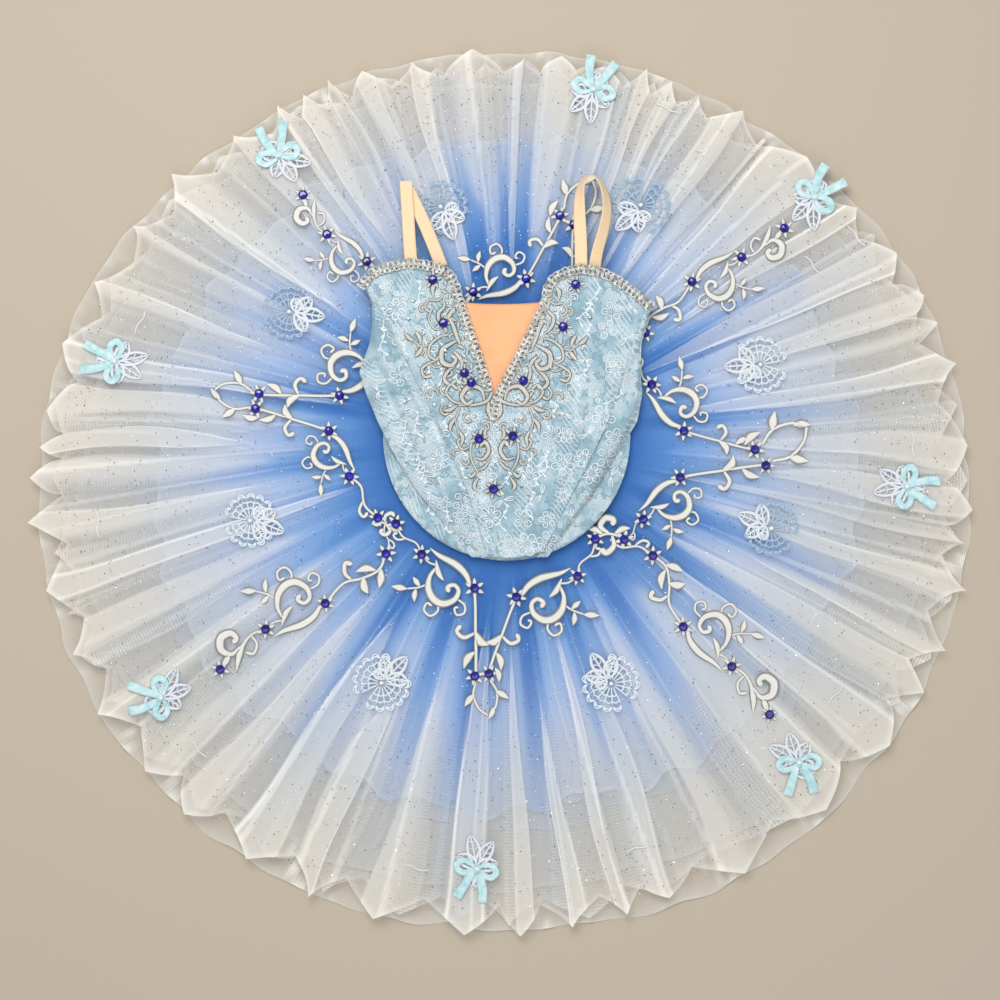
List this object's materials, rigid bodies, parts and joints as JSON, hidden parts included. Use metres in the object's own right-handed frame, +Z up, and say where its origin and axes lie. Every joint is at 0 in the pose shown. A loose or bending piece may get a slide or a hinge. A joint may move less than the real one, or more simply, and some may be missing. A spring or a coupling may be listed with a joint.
{
  "type": "ballet tutu",
  "caption": "Classical ballet tutu lying flat, front up: pleated layers of blue and white net spread as a disc, lace bodice with a V neck and two straps, sewn-on scrolls, bows and butterflies.",
  "frame": {"origin": "on the resting surface, under the middle of the garment's bounding box", "axes": "+X to the garment's right side as it is seen from above, +Y from the bodice's foot towards its top edge, +Z up from the surface"},
  "size_m": [1.0008, 0.9428, 0.0682],
  "materials": {
    "sheer_net": "sheer soft net, beige white",
    "white_net": "crisp hexagonal net, white",
    "blue_net": "soft net dyed from deep blue at the waist to lavender white",
    "glitter_tulle": "sheer tulle with glitter specks, blue fading to white",
    "lace": "white floral stretch lace over pale aqua cloth",
    "aqua_cloth": "matt pale aqua stretch cloth",
    "nude_cloth": "matt skin-coloured stretch cloth",
    "elastic": "flat woven elastic, cream",
    "silver_braid": "looped metallic braid",
    "silver_embroidery": "metallic grey corded embroidery",
    "white_embroidery": "satin-stitched off-white embroidery with a silver cord edge",
    "satin_ribbon": "satin, pale aqua",
    "wing_thread": "openwork of fine pale-blue thread",
    "white_lace": "thick white guipure lace",
    "stone": "faceted, polished, royal blue",
    "clear_stone": "faceted, polished, clear on foil",
    "pearl": "pearl lustre"
  },
  "bodies": {
    "root": {"skirt_smooth_net": "white_net", "skirt_ombre_net": "blue_net", "skirt_dagged_net": "white_net", "skirt_top_tulle": "glitter_tulle", "skirt_base_net": "sheer_net", "skirt_net_stack": "white_net", "panty": "aqua_cloth", "basque_front": "lace", "basque_back": "aqua_cloth", "bodice_front": "lace", "bodice_side_left": "lace", "bodice_side_right": "lace", "bodice_back_left": "aqua_cloth", "bodice_back_right": "aqua_cloth", "neck_insert": "nude_cloth", "neck_trim_left": "silver_braid", "neck_trim_right": "silver_braid", "strap_left": "elastic", "strap_right": "elastic", "bodice_scroll_left": "silver_embroidery", "bodice_scroll_right": "silver_embroidery", "bodice_scroll_centre": "silver_embroidery", "garland_peak_1": "white_embroidery", "garland_low_a_1": "white_embroidery", "garland_low_b_1": "white_embroidery", "garland_arm_1": "white_embroidery", "garland_peak_2": "white_embroidery", "garland_low_a_2": "white_embroidery", "garland_low_b_2": "white_embroidery", "garland_arm_2": "white_embroidery", "garland_peak_3": "white_embroidery", "garland_low_a_3": "white_embroidery", "garland_low_b_3": "white_embroidery", "garland_arm_3": "white_embroidery", "garland_peak_4": "white_embroidery", "garland_low_a_4": "white_embroidery", "garland_low_b_4": "white_embroidery", "garland_arm_4": "white_embroidery", "butterfly_1": "wing_thread", "butterfly_2": "wing_thread", "butterfly_3": "wing_thread", "butterfly_4": "wing_thread", "butterfly_5": "wing_thread", "butterfly_6": "wing_thread", "butterfly_7": "wing_thread", "butterfly_8": "wing_thread", "bow_1": "satin_ribbon", "bow_2": "satin_ribbon", "bow_3": "satin_ribbon", "bow_4": "satin_ribbon", "bow_5": "satin_ribbon", "bow_6": "satin_ribbon", "bow_7": "satin_ribbon", "bow_8": "satin_ribbon"}
  },
  "joints": []
}
